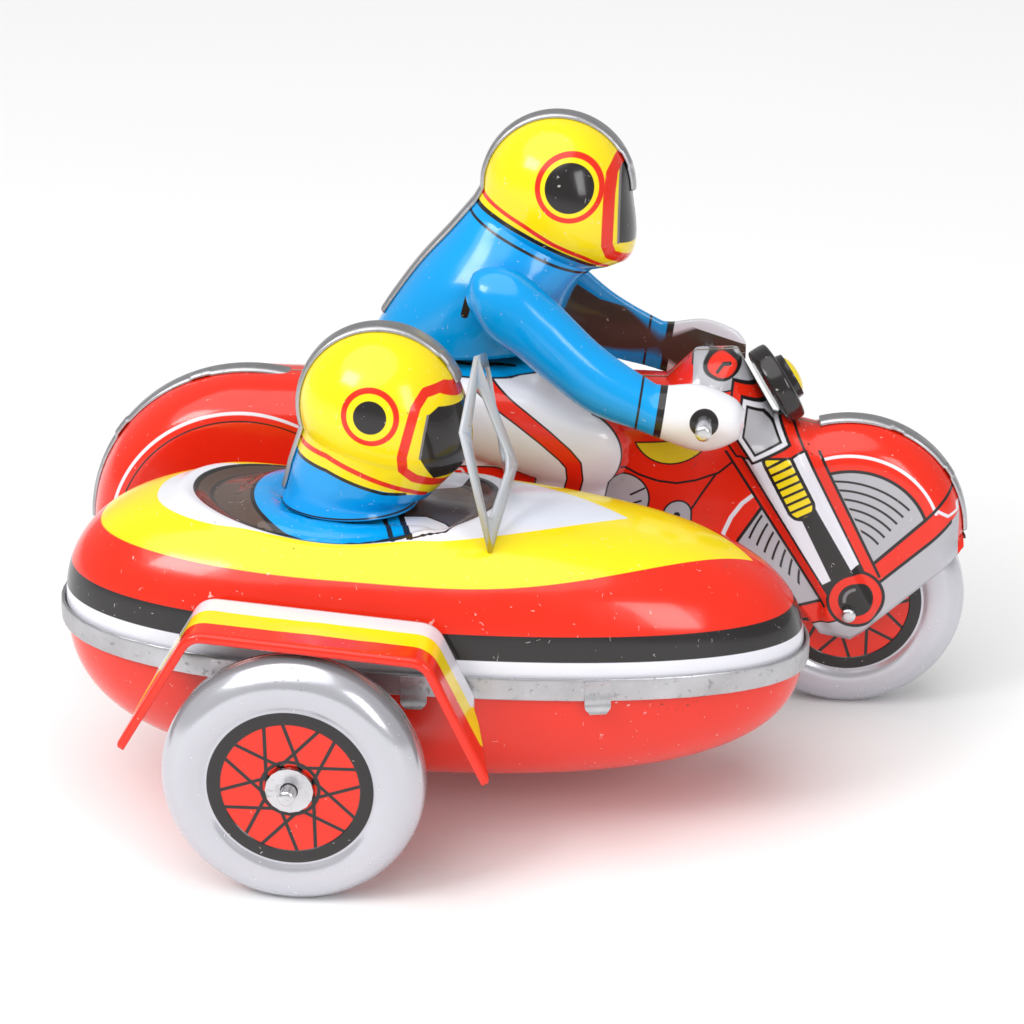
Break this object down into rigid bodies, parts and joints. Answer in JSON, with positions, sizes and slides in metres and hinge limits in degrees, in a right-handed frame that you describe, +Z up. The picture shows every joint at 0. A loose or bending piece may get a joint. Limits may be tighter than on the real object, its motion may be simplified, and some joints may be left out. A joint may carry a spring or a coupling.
{
  "type": "tin wind-up motorcycle with sidecar",
  "caption": "Tin wind-up motorcycle with sidecar, rider and passenger; stamped printed shells, spinning wheels, geared clockwork and a winding key.",
  "frame": {"origin": "middle of the bottom of the bounding box, on the floor", "axes": "+X forward (length), +Y the rider's left, +Z up; the sidecar is on -Y"},
  "size_m": [0.188, 0.136, 0.1288],
  "materials": {
    "litho_motorcycle": "glossy printed tin, red with white, grey, yellow and black",
    "litho_figures": "glossy printed tin, blue, yellow, white and black",
    "litho_sidecar_top": "glossy printed tin, yellow, red, black and white bands",
    "red_lacquer": "glossy red lacquer on tin",
    "silver_white_paint": "satin silver-white paint",
    "litho_wheel": "printed tin, grey tyre, red disc with black spokes",
    "black_paint": "gloss black paint",
    "yellow_lens": "gloss yellow paint",
    "bare_tinplate": "bare tinplate",
    "plated_steel": "bright plated steel",
    "clock_steel": "oiled steel",
    "gear_brass": "stamped brass"
  },
  "bodies": {
    "chassis": {"body_left_half": "litho_motorcycle", "body_right_half": "litho_motorcycle", "front_axle": "plated_steel", "front_fender_strip": "bare_tinplate", "front_tie_rod": "plated_steel", "handlebar": "plated_steel", "headlight_lens": "yellow_lens", "headlight_rim": "black_paint", "mainspring": "clock_steel", "motor_pillar_1": "clock_steel", "motor_pillar_2": "clock_steel", "motor_pillar_3": "clock_steel", "motor_plate_left": "bare_tinplate", "motor_plate_right": "bare_tinplate", "passenger_left_half": "litho_figures", "passenger_right_half": "litho_figures", "passenger_strip": "bare_tinplate", "rear_fender_strip": "bare_tinplate", "rider_arm_left": "litho_figures", "rider_arm_right": "litho_figures", "rider_left_half": "litho_figures", "rider_right_half": "litho_figures", "rider_strip": "bare_tinplate", "sidecar_axle": "plated_steel", "sidecar_band": "bare_tinplate", "sidecar_clip_1": "bare_tinplate", "sidecar_clip_2": "bare_tinplate", "sidecar_clip_3": "bare_tinplate", "sidecar_fender": "red_lacquer", "sidecar_lower_shell": "red_lacquer", "sidecar_upper_shell": "litho_sidecar_top", "sidecar_washer": "plated_steel", "windscreen": "silver_white_paint"},
    "front_wheel": {"front_wheel_right_half": "litho_wheel", "front_wheel_left_half": "litho_wheel"},
    "sidecar_wheel": {"sidecar_wheel_right_half": "litho_wheel", "sidecar_wheel_left_half": "litho_wheel"},
    "rear_wheel": {"rear_wheel_right_half": "litho_wheel", "rear_wheel_left_half": "litho_wheel", "rear_axle": "plated_steel", "axle_pinion": "gear_brass"},
    "second_wheel_set": {"second_wheel": "gear_brass", "second_pinion": "clock_steel", "second_arbor": "clock_steel"},
    "great_wheel_set": {"great_wheel": "gear_brass", "ratchet_click": "clock_steel"},
    "key_set": {"winding_arbor": "clock_steel", "ratchet_wheel": "clock_steel", "winding_key": "plated_steel"}
  },
  "joints": [
    {"name": "front_wheel_spin", "type": "hinge", "parent": "chassis", "child": "front_wheel", "pos_m": [0.06939, 0.03405, 0.02459], "axis": [0, 1, 0], "continuous": true},
    {"name": "sidecar_wheel_spin", "type": "hinge", "parent": "chassis", "child": "sidecar_wheel", "pos_m": [-0.03531, -0.06395, 0.02459], "axis": [0, 1, 0], "continuous": true},
    {"name": "rear_wheel_spin", "type": "hinge", "parent": "chassis", "child": "rear_wheel", "pos_m": [-0.05731, 0.0359, 0.02459], "axis": [0, 1, 0], "continuous": true},
    {"name": "second_wheel_spin", "type": "hinge", "parent": "chassis", "child": "second_wheel_set", "pos_m": [-0.0358, 0.03605, 0.03964], "axis": [0, 1, 0], "continuous": true},
    {"name": "great_wheel_spin", "type": "hinge", "parent": "chassis", "child": "great_wheel_set", "pos_m": [-0.00872, 0.04065, 0.04442], "axis": [0, 1, 0], "continuous": true},
    {"name": "key_wind", "type": "hinge", "parent": "great_wheel_set", "child": "key_set", "pos_m": [-0.00872, 0.04065, 0.04442], "axis": [0, 1, 0], "range_deg": [-1800, 0]}
  ],
  "couplings": [
    {"joint": "second_wheel_spin", "follows": "rear_wheel_spin", "ratio": -0.3125},
    {"joint": "great_wheel_spin", "follows": "rear_wheel_spin", "ratio": 0.069444}
  ]
}
